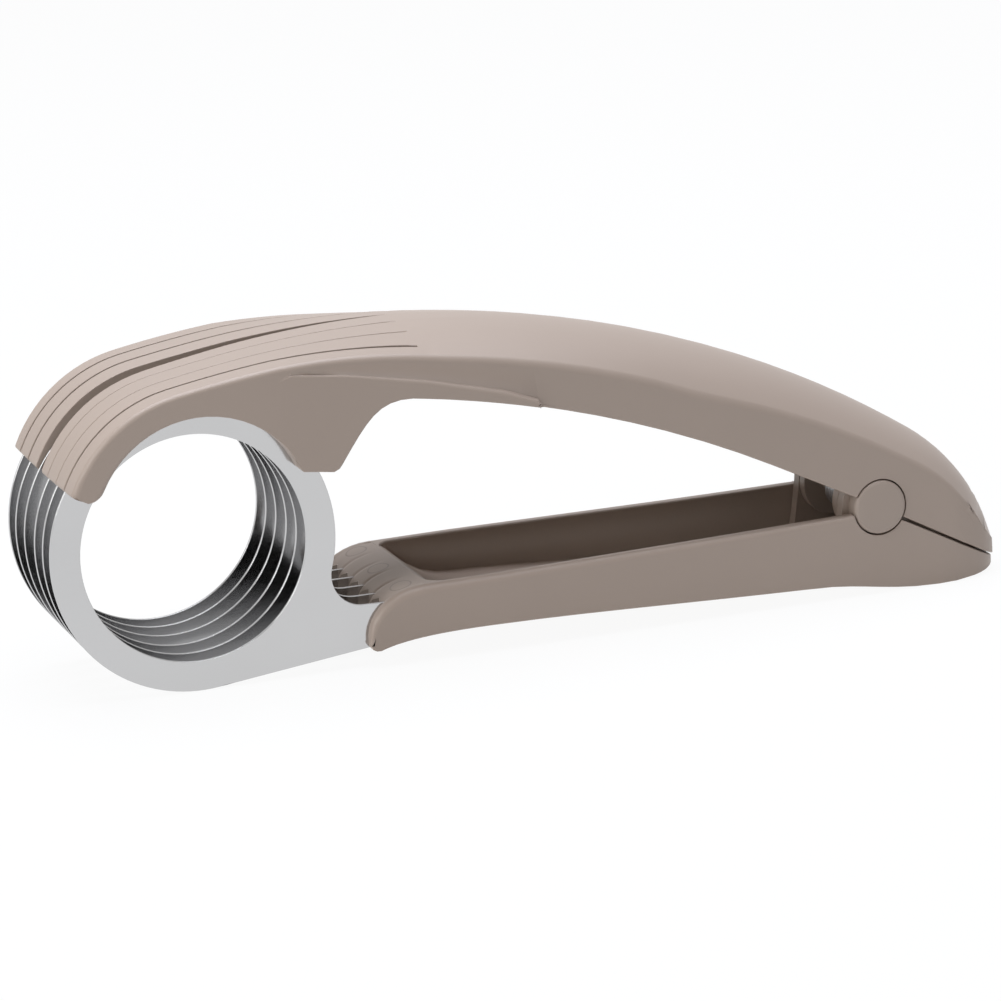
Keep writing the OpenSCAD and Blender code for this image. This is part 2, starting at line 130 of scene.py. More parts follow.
def soften(piece, width, segments=2, angle=25, share=None):
    """Rounds a piece's convex edges by width millimetres. share gives each edge its part of that, and
    the part of a narrow face that it may take."""
    builder = bmesh.new()
    builder.from_mesh(piece.data)
    weights = builder.edges.layers.float.new("bevel_weight_edge")
    for edge in builder.edges:
        if len(edge.link_faces) != 2 or edge.calc_face_angle(0) < math.radians(angle):
            continue
        if not edge.is_convex or edge.calc_length() < 1e-6:
            continue
        run = (edge.verts[1].co - edge.verts[0].co).normalized()
        room = min(max((v.co - edge.verts[0].co).cross(run).length for v in face.verts)
                   for face in edge.link_faces)
        wanted, part = share(edge) if share else (1, 0.45)
        edge[weights] = min(wanted, part * room * 1000 / width)
    builder.to_mesh(piece.data)
    builder.free()
    bevel = piece.modifiers.new("rounded edges", "BEVEL")
    bevel.limit_method = "WEIGHT"
    bevel.width = width / 1000
    bevel.segments = segments
    bevel.use_clamp_overlap = False
    bevel.harden_normals = True


class Wire:
    """A shader socket. Sums on it add the Math nodes that do them."""

    def __init__(self, finish, socket):
        self.finish, self.socket = finish, socket

    def sum(self, operation, *sides):
        return self.finish.add("ShaderNodeMath", {"operation": operation}, dict(enumerate(sides)))

    def __add__(self, other):
        return self.sum("ADD", self, other)

    def __sub__(self, other):
        return self.sum("SUBTRACT", self, other)

    def __rsub__(self, other):
        return self.sum("SUBTRACT", other, self)

    def __mul__(self, other):
        return self.sum("MULTIPLY", self, other)

    __radd__, __rmul__ = __add__, __mul__


class Finish:
    """A material and its nodes. add() puts in any node and gives back one of its outputs."""

    def __init__(self, name):
        self.material = bpy.data.materials.new(name)
        self.material.use_nodes = True
        self.tree = self.material.node_tree
        self.tree.nodes.clear()

    def add(self, kind, settings=None, inputs=None, output=0):
        node = self.tree.nodes.new(kind)
        for key, value in (settings or {}).items():
            if key == "stops":
                for element, (position, colour) in zip(node.color_ramp.elements, value):
                    element.position, element.color = position, colour
            else:
                setattr(node, key, value)
        for key, value in (inputs or {}).items():
            if isinstance(value, Wire):
                self.tree.links.new(value.socket, node.inputs[key])
            else:
                node.inputs[key].default_value = value
        return Wire(self, node.outputs[output]) if node.outputs else node

    def noise(self, scale, stretch=(1, 1, 1), detail=2.0):
        where = self.add("ShaderNodeTexCoord", output="Object")
        if stretch != (1, 1, 1):
            where = self.add("ShaderNodeMapping", {}, {"Vector": where, "Scale": stretch})
        return self.add("ShaderNodeTexNoise", {}, {"Vector": where, "Scale": scale, "Detail": detail})

    def mixed(self, amount, low, high):
        """A colour between low and high, by the amount."""
        return self.add("ShaderNodeMix", {"data_type": "RGBA"},
                        {0: amount, 6: (*low, 1), 7: (*high, 1)}, 2)

    def surface(self, **inputs):
        named = {key.replace("_", " "): value for key, value in inputs.items()}
        shader = self.add("ShaderNodeBsdfPrincipled", {}, named)
        self.add("ShaderNodeOutputMaterial", {}, {"Surface": shader})
        return self.material


def steel(name, colour, roughness):
    """Rolled sheet steel: faint grain along the strip, and a soft shine."""
    finish = Finish(name)
    grain = finish.noise(60, (1, 1, 45), 4)
    cloud = finish.noise(45)
    tone = finish.mixed(cloud, [c * 0.93 for c in colour], colour)
    bump = finish.add("ShaderNodeBump", {}, {"Height": grain, "Strength": 0.02, "Distance": 0.00003})
    return finish.surface(Base_Color=tone, Metallic=1.0, Roughness=grain * 0.12 + (roughness - 0.06),
                          Normal=bump)


blade_steel = steel("blade steel", (0.58, 0.58, 0.585), 0.11)
neck = (math.sqrt((ring_r + neck_r) ** 2 - (tang_top + neck_r) ** 2), tang_top + neck_r)
neck_turn = math.degrees(math.atan2(neck[1], neck[0]))
foot = (ring_r * math.sin(tang_slope), -ring_r * math.cos(tang_slope))
block_x = 32.5
tang_x = 33.8


def tang_low(x):
    return foot[1] + (x - foot[0]) * math.tan(tang_slope)


def stamped_ring():
    """One ring and its tang as a sheet with lightly rounded edges, about the ring's own middle."""
    builder = bmesh.new()
    foot_turn = 270 + math.degrees(tang_slope)
    free = list(np.linspace(neck_turn, foot_turn, 101))
    held = list(np.linspace(foot_turn, neck_turn + 360, 23))[1:-1]
    n = len(free) + len(held)
    corner_x = neck[0]
    points = [arc((0, 0), r, a, a, 0)[0] for r in (ring_r, ring_hole_r) for a in free + held]
    points += [(x, tang_low(x)) for x in np.linspace(foot[0], corner_x, 11)[1:]]
    points += arc(neck, neck_r, -90, neck_turn - 180, 11)[:-1]
    step_z = tang_low(tang_x) + tang_step
    points += [(tang_x, tang_low(tang_x)), (tang_x, step_z), (tang_end, step_z), (tang_end, tang_top)]
    rows = [[builder.verts.new(place(x, y, z)) for x, z in points] for y in (-plate_t / 2, plate_t / 2)]
    low, fillet, grip = (list(range(2 * n + i, 2 * n + j)) for i, j in ((0, 10), (10, 21), (21, 25)))
    round_side = list(range(len(free) - 1, n)) + [0]
    tang_side = [len(free) - 1] + low + fillet + [0]
    strips = [(i, (i + 1) % n, n + (i + 1) % n, n + i) for i in range(n)]
    strips += [(a, b, d, c) for a, b, c, d in zip(round_side, round_side[1:], tang_side, tang_side[1:])]
    strips += [(low[-1], grip[0], grip[1], fillet[0]), (fillet[0], grip[1], grip[2], grip[3])]
    for row in rows:
        for strip in strips:
            builder.faces.new([row[i] for i in dict.fromkeys(strip)])
    for loop in (list(range(n, 2 * n)), list(range(len(free))) + low + grip + fillet):
        for a, b in zip(loop, loop[1:] + loop[:1]):
            builder.faces.new((rows[0][a], rows[0][b], rows[1][b], rows[1][a]))
    bmesh.ops.recalc_face_normals(builder, faces=builder.faces)
    rims = [e for e in builder.edges if abs(e.calc_face_angle(0)) > 1.2 and
            abs(e.verts[0].co.y - e.verts[1].co.y) < 1e-6]
    bmesh.ops.bevel(builder, geom=rims, offset=rim_round / 1000, segments=2, profile=0.5, affect="EDGES")
    bmesh.ops.translate(builder, verts=builder.verts, vec=(-neck_at, 0, 0))
    ring = tidy_mesh("ring", builder)
    for face in ring.data.polygons:
        face.use_smooth = abs(face.normal.y) < 0.99
    return ring


neck_at = place(neck[0], 0, 0)[0]


def blade_tree():
    """Sets one stamped ring in its place in the stack and leans it about its neck."""
    tree = bpy.data.node_groups.new("ring in the stack", "GeometryNodeTree")
    wanted = [("Ring", "NodeSocketGeometry"), ("Side", "NodeSocketFloat"), ("Neck", "NodeSocketFloat"),
              ("Lean", "NodeSocketFloat"), ("Finish", "NodeSocketMaterial")]
    for label, kind in wanted:
        tree.interface.new_socket(label, in_out="INPUT", socket_type=kind)
    tree.interface.new_socket("Blade", in_out="OUTPUT", socket_type="NodeSocketGeometry")
    start, end = tree.nodes.new("NodeGroupInput"), tree.nodes.new("NodeGroupOutput")
    seat = tree.nodes.new("ShaderNodeCombineXYZ")
    spot = tree.nodes.new("GeometryNodePoints")
    turn = tree.nodes.new("ShaderNodeCombineXYZ")
    copy = tree.nodes.new("GeometryNodeInstanceOnPoints")
    real = tree.nodes.new("GeometryNodeRealizeInstances")
    paint = tree.nodes.new("GeometryNodeSetMaterial")
    link = tree.links.new
    link(start.outputs["Neck"], seat.inputs["X"])
    link(start.outputs["Side"], seat.inputs["Y"])
    link(seat.outputs[0], spot.inputs["Position"])
    link(start.outputs["Lean"], turn.inputs["Z"])
    link(spot.outputs[0], copy.inputs["Points"])
    link(start.outputs["Ring"], copy.inputs["Instance"])
    link(turn.outputs[0], copy.inputs["Rotation"])
    link(copy.outputs[0], real.inputs[0])
    link(real.outputs[0], paint.inputs["Geometry"])
    link(start.outputs["Finish"], paint.inputs["Material"])
    link(paint.outputs[0], end.inputs[0])
    return tree


def grow(base, tree, name, **inputs):
    """Runs a node tree on a base object and keeps the result as a plain mesh piece."""
    modifier = base.modifiers.new("grow", "NODES")
    modifier.node_group = tree
    for item in tree.interface.items_tree:
        if item.in_out == "INPUT" and item.name in inputs:
            modifier[item.identifier] = inputs[item.name]
    seen = base.evaluated_get(bpy.context.evaluated_depsgraph_get())
    mesh = bpy.data.meshes.new_from_object(seen)
    mesh.name = name
    bpy.data.objects.remove(base)
    piece = bpy.data.objects.new(name, mesh)
    bpy.context.scene.collection.objects.link(piece)
    return piece


stack = blade_tree()
for number in range(ring_count):
    ring = grow(stamped_ring(), stack, f"ring_blade_{number + 1}", Side=blade_y(number) / 1000,
                Neck=neck_at, Lean=math.radians(ring_lean[number]), Finish=blade_steel)
    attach(ring, "handle_body")
    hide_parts(f"blade_{number + 1}")

# ---- The handle ----
# An open trough moulded in glass-filled plastic, with a solid block at the front that grips the tangs.
# Its two walls run back past the hinge and close in a rounded tail.
block_half = 18.4
hinge_half = 15.1
tip_half = 13.7
pivot = (137.6, -10.0)
tip_x = 165.2
tail_corner_r = 9.0
wall = 2.5
floor_t = 2.2
rim_z = -12.4
hinge_rim_z = -10.9
trough_start = 44.4
trough_corner_r = 4.5
taper_from = 60.0
web_setback = 2.3
web_scoop = 1.3
nose_l = 11.5
block_low = tang_low(block_x) - 0.6
parting = math.tan(math.radians(28.2))
tail_low = pivot[1] - (tip_x - pivot[0]) * parting
tail_gap = 0.35 / math.cos(math.radians(28.2))


def plastic(name, colour, roughness=0.42, marks=()):
    """Satin moulded plastic: even colour, faint mould grain and a slight unevenness in the shine. marks
    are the places of the fine rings that the mould's ejector pins leave."""
    finish = Finish(name)
    cloud = finish.noise(28, detail=3)
    grain = finish.noise(1600, detail=2)
    tone = finish.mixed(cloud, [c * 0.965 for c in colour], [min(1, c * 1.035) for c in colour])
    height = grain
    for mark in marks:
        where = finish.add("ShaderNodeTexCoord", output="Object")
        away = finish.add("ShaderNodeVectorMath", {"operation": "DISTANCE"}, {0: where, 1: mark}, 1)
        off = finish.add("ShaderNodeMath", {"operation": "ABSOLUTE"}, {0: away - ejector_r})
        line = finish.add("ShaderNodeMapRange", {}, {0: off, 1: 0.0, 2: 0.00022, 3: 1.0, 4: 0.0})
        tone = finish.add("ShaderNodeMix", {"data_type": "RGBA"},
                          {0: line * 0.55, 6: tone, 7: (*[c * 0.35 for c in colour], 1)}, 2)
        height = height - line * 0.8
    bump = finish.add("ShaderNodeBump", {}, {"Height": height, "Strength": 0.09, "Distance": 0.0001})
    return finish.surface(Base_Color=tone, Roughness=cloud * 0.08 + (roughness - 0.04), Normal=bump)


ejector_r = 0.0022
body_plastic = plastic("body plastic", (0.385, 0.307, 0.254))


def bezier(a, b, c, d, steps):
    """Points on a cubic curve with control points a, b, c and d, both ends included."""
    points = []
    for t in np.linspace(0, 1, steps + 1):
        s = 1 - t
        points.append(tuple(s**3 * a[i] + 3 * s * s * t * b[i] + 3 * s * t * t * c[i] + t**3 * d[i]
                            for i in (0, 1)))
    return points


def follow(points):
    """A height over x, read from a line of points."""
    xs, zs = zip(*sorted(points))
    return lambda x: float(np.interp(x, xs, zs))


def tail_half(x):
    return hinge_half + (tip_half - hinge_half) * (x - pivot[0]) / (tip_x - pivot[0])


def rounded(half, x, x_end, r, inset=0.0):
    """A half-width that closes in a corner of radius r at x_end."""
    over = x - (x_end - r)
    if over <= 0:
        return half
    corner = tail_half(x_end) - inset - r
    return min(half, corner + math.sqrt(max(0, r * r - min(over, r) ** 2)))


def cell_solid(name, point, sizes, solid):
    """A closed mesh from a bent grid of cells. point gives the corners and solid says which are full."""
    builder = bmesh.new()
    made = {}

    def corner(key):
        if key not in made:
            made[key] = builder.verts.new(place(*point(*key)))
        return made[key]

    full = {(i, j, k) for i in range(sizes[0]) for j in range(sizes[1]) for k in range(sizes[2])
            if solid(i, j, k)}
    for cell in full:
        for axis in range(3):
            u, v = [n for n in range(3) if n != axis]
            for step in (0, 1):
                beside = list(cell)
                beside[axis] += 2 * step - 1
                if tuple(beside) in full:
                    continue
                keys = []
                for du, dv in ((0, 0), (1, 0), (1, 1), (0, 1)):
                    key = list(cell)
                    key[axis] += step
                    key[u] += du
                    key[v] += dv
                    keys.append(tuple(key))
                builder.faces.new([corner(key) for key in keys])
    return tidy_mesh(name, builder)


arch_from, arch_to = (block_x + 1.5, block_low), (pivot[0] - 12.6, -24.45)
heel_from, heel_to = (pivot[0] + 13, -27.2), (tip_x, tail_low - 1)
underside = follow(
    [(block_x, block_low + 1.1), (block_x + 0.5, block_low + 0.35)]
    + bezier(arch_from, (46.04, -19.8), (79.97, -23.0), arch_to, 24)
    + bezier(arch_to, (134.0, -24.9), (140.0, -27.2), heel_from, 16)[1:]
    + bezier(heel_from, (157.1, -27.2), (162.2, -26.2), heel_to, 16)[1:])
trough_floor = follow(
    bezier((trough_start, rim_z), (48.4, rim_z - 1.6), (49.9, -19.8), (59.4, -19.8), 24)
    + [(x, underside(x) + floor_t) for x in np.linspace(60.5, tip_x, 80)])
rim_line = follow([(trough_start, rim_z), (110, -11.5), (pivot[0] - 0.01, hinge_rim_z),
                   (pivot[0], pivot[1] - tail_gap - 0.35), (tip_x, tail_low - tail_gap)])

# The block's nose as points over and under it; then plain cross-sections along the trough
nose = bezier((block_x, block_low + 1.5), (block_x - 0.6, rim_z - 4.6), (block_x + 4.6, rim_z - 0.1),
              (block_x + nose_l, rim_z), 11)
nose_low = np.linspace(0, 1, 12) ** 1.4 * nose_l + block_x
trough_x = [44.4, 44.9, 45.6, 46.5, 47.6, 48.9, 50.8, 53.5, 56.5, 60, 66, 74, 84, 94, 104, 114, 121, 127,
            131, 134, 137.6, 141, 145, 150, 154, 156.5, 158.3, 159.7, 160.9, 161.7, 162.8, 163.7, 164.3,
            164.8]
cavity_end = 161.7
web_half = (ring_pitch - plate_t) / 2
columns = [-block_half, -(blade_y(5) + plate_t / 2), -blade_y(5)]
for number in range(ring_count - 1):
    columns += [blade_y(number) + plate_t / 2 + 2 * web_half * t for t in (0, 0.15, 0.5, 0.85, 1)]
    columns += [blade_y(number + 1)]
columns += [blade_y(5) + plate_t / 2, block_half]
inner = columns[3]


web_top = follow(bezier((block_x + web_setback, rim_z - 5), (35.5, rim_z - 2.2), (38.5, rim_z - 0.45),
                        (trough_start, rim_z), 40))


def set_back(y):
    """How far the moulding stands back from the block's front between the rings."""
    if abs(y) > blade_y(5) + 0.1:
        return 0.0
    off_centre = min((y - inner) % ring_pitch, 2 * web_half) - web_half
    return web_setback + web_scoop * (1 - (off_centre / web_half) ** 2)


def groove(x, y):
    """Depth of the fine line that each tang leaves in the block's top behind it."""
    over_tang = min(abs(y - blade_y(number)) for number in range(1, ring_count - 1)) < 0.01
    return 0.22 * min(1, max(0, (41.5 - x) / 3)) if over_tang else 0.0


def handle_half(x):
    back = block_half + (hinge_half - block_half) * (x - taper_from) / (pivot[0] - taper_from)
    return rounded(min(block_half if x < taper_from else back, tail_half(x) if x > pivot[0] else 99),
                   x, tip_x - 0.4, tail_corner_r)


def handle_inside(x):
    front = trough_corner_r - max(0, trough_corner_r - (x - trough_start))
    front = handle_half(x) - wall - trough_corner_r + math.sqrt(
        max(0, trough_corner_r**2 - (trough_corner_r - front) ** 2))
    return rounded(front, x, tip_x - 3.4, tail_corner_r - wall, wall)


def handle_point(i, j, k):
    y = columns[j]
    if i < len(nose):
        back = set_back(y)
        run = 1 - back / (nose_l + 0.6)
        x = block_x + back + ((nose[i][0] if k == 0 else nose_low[i]) - block_x) * run
        z = (nose[i][1] if back == 0 else web_top(x) - groove(x, y)) if k == 0 else underside(nose_low[i])
        if k == 1:
            z = (web_top(x) + z) / 2 if back else (nose[i][1] + z) / 2
        return x, y, z
    x = trough_x[i - len(nose)]
    z = (rim_line(x), min(trough_floor(x), rim_line(x) - 0.05 if x > 44.5 else 0), underside(x))[k]
    if x >= pivot[0] and k == 1:
        z = min(z, rim_line(x) - 0.15)
    if abs(y) <= -inner + 0.001:
        return x, y / -inner * handle_inside(x), z
    if k == 1:
        z = (rim_line(x) + underside(x)) / 2
    share = {block_half: 1.0, blade_y(5) + plate_t / 2: 0.34}.get(abs(y), 0.3)
    return x, math.copysign(handle_inside(x) + share * (handle_half(x) - handle_inside(x)), y), z


def handle_solid(i, j, k):
    if i < len(nose) or trough_x[i - len(nose)] > cavity_end - 0.01:
        return True
    between = columns[j] > inner - 0.01 and columns[j + 1] < -inner + 0.01
    return k == 1 or not between


handle = cell_solid("trough_handle", handle_point,
                    (len(nose) + len(trough_x) - 1, len(columns) - 1, 2), handle_solid)


def carve(piece, tools):
    """Cuts the tool objects out of a piece and deletes them."""
    for tool in tools:
        cut = piece.modifiers.new("cut", "BOOLEAN")
        cut.operation, cut.solver, cut.object = "DIFFERENCE", "EXACT", tool
    mesh = bpy.data.meshes.new_from_object(piece.evaluated_get(bpy.context.evaluated_depsgraph_get()))
    piece.modifiers.clear()
    piece.data = mesh
    for tool in tools:
        bpy.data.objects.remove(tool)


def turned(name, centre, profile, side=1, steps=64):
    """A shape turned about the hinge's own direction; profile gives (radius, y) from the outside in."""
    builder = bmesh.new()
    rows = []
    for r, y in profile:
        around = [(centre[0] + r * math.cos(a), side * y, centre[1] + r * math.sin(a))
                  for a in np.linspace(0, 2 * math.pi, steps, endpoint=False)]
        rows.append([builder.verts.new(place(*p)) for p in around])
    for low, high in zip(rows, rows[1:]):
        for n in range(steps):
            m = (n + 1) % steps
            builder.faces.new((low[n], low[m], high[m], high[n]))
    builder.faces.new(rows[0])
    builder.faces.new(rows[-1])
    return tidy_mesh(name, builder)


button_r = 5.35
button_gap = 0.25
lug_r = 6.6
lug_t = 2.4
layer_1 = tail_half(pivot[0] + lug_r) - wall - 0.3
layer_2 = layer_1 - lug_t - 0.3


def button_seats():
    """Tools for the round seats that the pin's two heads sit in."""
    seat_r = button_r + button_gap
    return [turned("seat", pivot, [(seat_r, layer_1), (seat_r, 20)], side) for side in (-1, 1)]


carve(handle, button_seats())


def add_shapes(piece, shapes):
    """Adds flat shapes, each an outline from y0 to y1 and its mirror image, to a piece's mesh."""
    builder = bmesh.new()
    for outline, y0, y1 in shapes:
        cut_out(builder, outline, [], y0, y1)
        if y0 > 0:
            cut_out(builder, outline, [], -y1, -y0)
    bmesh.ops.recalc_face_normals(builder, faces=builder.faces)
    builder.from_mesh(piece.data)
    builder.to_mesh(piece.data)
    builder.free()
    piece.data.shade_smooth()


foot_top = arc(pivot, lug_r, 0, 180, 24)
foot_low = [(pivot[0] - lug_r - 2, underside(pivot[0] - lug_r - 2) + 0.4),
            (pivot[0] + lug_r + 2, underside(pivot[0] + lug_r + 2) + 0.4)]
foot_side = [(pivot[0] + 4, -13.6), (pivot[0], -11.4), (pivot[0] - 6.2, -11.4)]
add_shapes(handle, [(foot_top + foot_low, layer_1 - lug_t, layer_1),
                    (foot_side + foot_low, layer_1 - 0.1, hinge_half - wall + 0.2)])


def handle_edge_share(edge):
    """Well rounded along the rim and the nose outside, half as much inside, and little below or
    round the button seats."""
    middle = (edge.verts[0].co + edge.verts[1].co) / 2
    x, z = middle.x * 1000 + 69, middle.z * 1000 - 27.2
    if math.hypot(x - pivot[0], z - pivot[1]) < button_r + 0.4:
        return 0.03, 0.3
    if x > tip_x - 1 and z > -26:
        return 0.38, 0.45
    sides = [face.normal for face in edge.link_faces]
    up = max(n.z for n in sides) > 0.6 or (x < trough_start and min(n.x for n in sides) < -0.3)
    outward = max(n.y * math.copysign(1, middle.y) for n in sides) > 0.7
    fade = min(1, max(0.15, (pivot[0] - 10 - x) / 25))
    if x < block_x + 3:
        fade = min(fade, max(0.03, (z - block_low - 2) / 4))
    if up and outward and abs(middle.y) * 1000 > handle_half(x) - 0.05:
        return 0.95 * fade, 0.94
    if up and x > trough_start:
        return 0.4 * fade, 0.85
    return (0.05, 0.3) if x < trough_start and abs(middle.y) * 1000 < blade_y(5) + 0.5 else (0.28 * fade, 0.3)


soften(handle, 1.8, 4, 35, handle_edge_share)
handle.data.materials.clear()
handle.data.materials.append(plastic("handle plastic", (0.385, 0.307, 0.254), marks=[
    place(40.0, y, rim_z) for y in (-13.5, 0.0, 13.5)]))
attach(handle, "handle_body")
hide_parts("handle")

# ---- The arm ----
# One moulding: seven curved fingers that press the food, a long hollow back, and side webs behind the
# outer fingers. It swings on the pin, and its tail closes over the handle's.
comb_half = 21.65
arm_step = 0.3
slit_root = 45.0
channel_x = 47.5
finger_end_z = 12.2
finger_end_r = 3.4
brow_c, brow_r = (1.7, 3.3), 28.7
brow_turn = 11.3
arch_r, tail_r = 206.0, 38.0
arch_c = (brow_c[0] + (arch_r - brow_r) * math.sin(math.radians(brow_turn)),
          brow_c[1] - (arch_r - brow_r) * math.cos(math.radians(brow_turn)))
tail_from = math.degrees(math.asin((150 - arch_c[0]) / arch_r))
tail_c = (arch_c[0] + (arch_r - tail_r) * math.sin(math.radians(tail_from)),
          arch_c[1] + (arch_r - tail_r) * math.cos(math.radians(tail_from)))
hollow_c, hollow_r = (1.1, 5.1), 20.6
tooth = (hollow_c[0] + math.sqrt(hollow_r**2 - 8.0**2), 13.1)
tooth_end = (tooth[0] + 6.3, 12.3)
belly_end = (pivot[0] - 22.6, pivot[1] + 22.6 * math.tan(math.radians(26.7)))
belly_r = 235.0
belly_c = (belly_end[0] - belly_r * math.sin(math.radians(26.7)),
           belly_end[1] - belly_r * math.cos(math.radians(26.7)))


def round_line(centre, r, turns):
    """Points and outward directions on a circle, by angle from upright in degrees."""
    line = []
    for turn in np.radians(turns):
        out = (math.sin(turn), math.cos(turn))
        line.append(((centre[0] + r * out[0], centre[1] + r * out[1]), out))
    return line


def arch_turns(xs):
    return [math.degrees(math.asin((x - arch_c[0]) / arch_r)) for x in xs]


def belly(x):
    """Height of the arm's lower edge behind the teeth."""
    if x > pivot[0]:
        return pivot[1] - (x - pivot[0]) * parting
    if x > belly_end[0]:
        return pivot[1] + (pivot[0] - x) * math.tan(math.radians(26.7))
    return belly_c[1] + math.sqrt(belly_r**2 - (x - belly_c[0]) ** 2)


# The back from finger end to tail, and the lower edge point by point under it
tip_corner_r = 1.8
outer_corner = (brow_c[0] - math.sqrt((brow_r - tip_corner_r) ** 2
                                      - (finger_end_z + tip_corner_r - brow_c[1]) ** 2),
                finger_end_z + tip_corner_r)
outer_turn = math.degrees(math.atan2(outer_corner[0] - brow_c[0], outer_corner[1] - brow_c[1]))
inner_corner = (hollow_c[0] - math.sqrt((hollow_r + finger_end_r) ** 2
                                        - (finger_end_z + finger_end_r - hollow_c[1]) ** 2),
                finger_end_z + finger_end_r)
inner_turn = math.degrees(math.atan2(inner_corner[1] - hollow_c[1], inner_corner[0] - hollow_c[0]))
arch_x = [-1, 2.5, 6, 9.3, 12.6, 15.9, 18.7, 21.5, 25, 28.5, 29.9, 31.2, 32.6, 34, 35.3, 36.7, 38.1,
          39.5, 41.2, 43, 45, 47.5, 48.1, 49.2, 50.5, 54, 57, 60, 63.5, 67, 68.4, 73, 79, 86, 93, 101, 108,
          115, 121, 127, 132, 137.6, 142, 146, 150]
tail_turns = np.linspace(tail_from, 72.35, 12)[1:]
tip_steps = 6
back_line = (round_line(outer_corner, tip_corner_r, np.linspace(-180, outer_turn, tip_steps + 1))
             + round_line(brow_c, brow_r, np.linspace(outer_turn, -brow_turn, 14)[1:])
             + round_line(arch_c, arch_r, arch_turns(arch_x)) + round_line(tail_c, tail_r, tail_turns))
tooth_turn = math.degrees(math.atan2(tooth[1] - hollow_c[1], tooth[0] - hollow_c[0]))
low_line = (arc(inner_corner, finger_end_r, -90, inner_turn - 180, tip_steps)
            + arc(hollow_c, hollow_r, inner_turn, tooth_turn, 21)[1:]
            + [((tooth[0] + tooth_end[0]) / 2, (tooth[1] + tooth_end[1]) / 2)]
            + [(tooth_end[0] - 0.3, tooth_end[1]), (tooth_end[0] + 0.75, tooth_end[1] + 0.45)]
            + bezier((27.6, 13.3), (33.6, 21.9), (35.6, 25.6), (slit_root, belly(slit_root)), 9))
low_line += [(p[0], belly(p[0])) for p, _ in back_line[len(low_line):]]
low_line[-1] = (164.8, belly(164.8))

web_from, web_to = 15.9, 68.4
web_line = follow([(web_from, 31.9), (30, 30.1), (45, 27.3), (60, 23.5), (67, 20.9),
                   (web_to, belly(web_to)), (69, belly(web_to))])
flat_crown, dome_crown = 0.0055, 0.045


def crown(y, k):
    return (1 - math.sqrt(1 - (k * y) ** 2)) / k


def sag(x, y):
    """How far the back falls at y from its middle line. The fingers' tops lie flat between the edges."""
    k = flat_crown + (dome_crown - flat_crown) * min(1, max(0, (x - 16) / 88))
    flat = 0.8 * min(1, max(0, (50 - x) / 45))
    return flat * crown(comb_half, flat_crown) + (1 - flat) * crown(y, k)


def web_half_at(x):
    return comb_half - 1.7 * max(0, x - web_from) / (70 - web_from)


def arm_half(x):
    if x < web_from + 0.01:
        return comb_half
    side = comb_half - arm_step
    straight = side + (hinge_half - side) * (x - web_from) / (pivot[0] - web_from)
    straight += arm_step * max(0, 1 - (x - web_from) / 10)
    return rounded(straight if x < pivot[0] else tail_half(x), x, tip_x, tail_corner_r)


def arm_inside(x):
    corner_r = 3.0
    into = min(corner_r, max(0, x - channel_x))
    half = arm_half(x) - wall - corner_r + math.sqrt(corner_r**2 - (corner_r - into) ** 2)
    if x < channel_x:
        half = arm_half(x) - wall
    return rounded(half, x, tip_x - 3, tail_corner_r - wall, wall)


# Slits between the fingers, from the near side to the far side. The second and third have nearly
# closed and leave one wide slit in the middle.
slit_back = [0.72, 0.3, 0.3, 0.6, 0.55, 0.5]
slit_tip = [0.72, 0.25, 0.25, 4.2, 0.85, 0.8]
tip_middle = [-16.05, -10.45, -4.6, 1.8, 10.1, 16.4]


def slit_sides(x):
    """The slits' sides at a distance x along the arm, as one list of y values."""
    share = min(1, max(0, (slit_root - x) / 52))
    sides = []
    for number in range(ring_count):
        middle = blade_y(number) * (1 - share) + tip_middle[number] * share
        half = (slit_back[number] * (1 - share) + slit_tip[number] * share) / 2
        sides += [middle - half, middle + half]
    return sides


def arm_point(i, j, k):
    (top_x, top_z), out = back_line[i]
    low_x, low_z = low_line[i]
    last = 2 * ring_count + 5
    edge = min(j, last - j)
    side = -1 if j < 3 else 1

    def across(x):
        if edge == 0 or (edge == 1 and top_x < web_from + 0.01):
            return side * (web_half_at(x) if x < web_to else arm_half(x))
        if edge == 1:
            return side * arm_half(x)
        if edge == 2:
            return side * arm_inside(x)
        sides = slit_sides(x)
        even = 2 * (j - 2) / (last - 4) - 1
        share = min(1, max(0, (x - slit_root) / 25))
        scale = arm_inside(x) / arm_inside(slit_root)
        return (1 - share) * sides[j - 3] * (scale if x > slit_root else 1) + share * even * arm_inside(x)

    y = across(top_x)
    if k == 0:
        drop = sag(top_x, y)
    elif k == 1 and (top_x < web_from - 0.1 or i == len(back_line) - 1 or (edge == 1 and top_x > web_to)):
        depth = sag(top_x, y) / 2 - (0.2 if i == len(back_line) - 1 else 0)
        middle = (top_x + low_x) / 2 - depth * out[0]
        return middle, across(middle), (top_z + low_z) / 2 - depth * out[1]
    elif k == 1 and (edge > 1 or not web_from <= top_x <= web_to):
        drop = sag(top_x, y) + wall
    elif k == 1:
        height = min(web_line(top_x), top_z - sag(top_x, y) - 0.001)
        return top_x, y, max(height, low_z)
    else:
        return low_x, across(low_x), low_z
    for _ in range(6 if top_x > 100 else 0):
        y = across(top_x - drop * out[0])
        drop = sag(top_x, y) + k * wall
    return top_x - drop * out[0], y, top_z - drop * out[1]


def arm_solid(i, j, k):
    x = back_line[i][0][0]
    last = 2 * ring_count + 4
    edge = min(j, last - j)
    finger_zone = low_line[i + 1][0] <= slit_root + 0.01
    if edge == 0:
        return k == 1 and web_from - 0.1 < x < web_to - 0.1
    if 3 <= j <= last - 3 and j % 2 == 1 and finger_zone:
        return False
    if edge > 1 and k == 1 and channel_x - 0.01 <= x < 161.5:
        return False
    return True


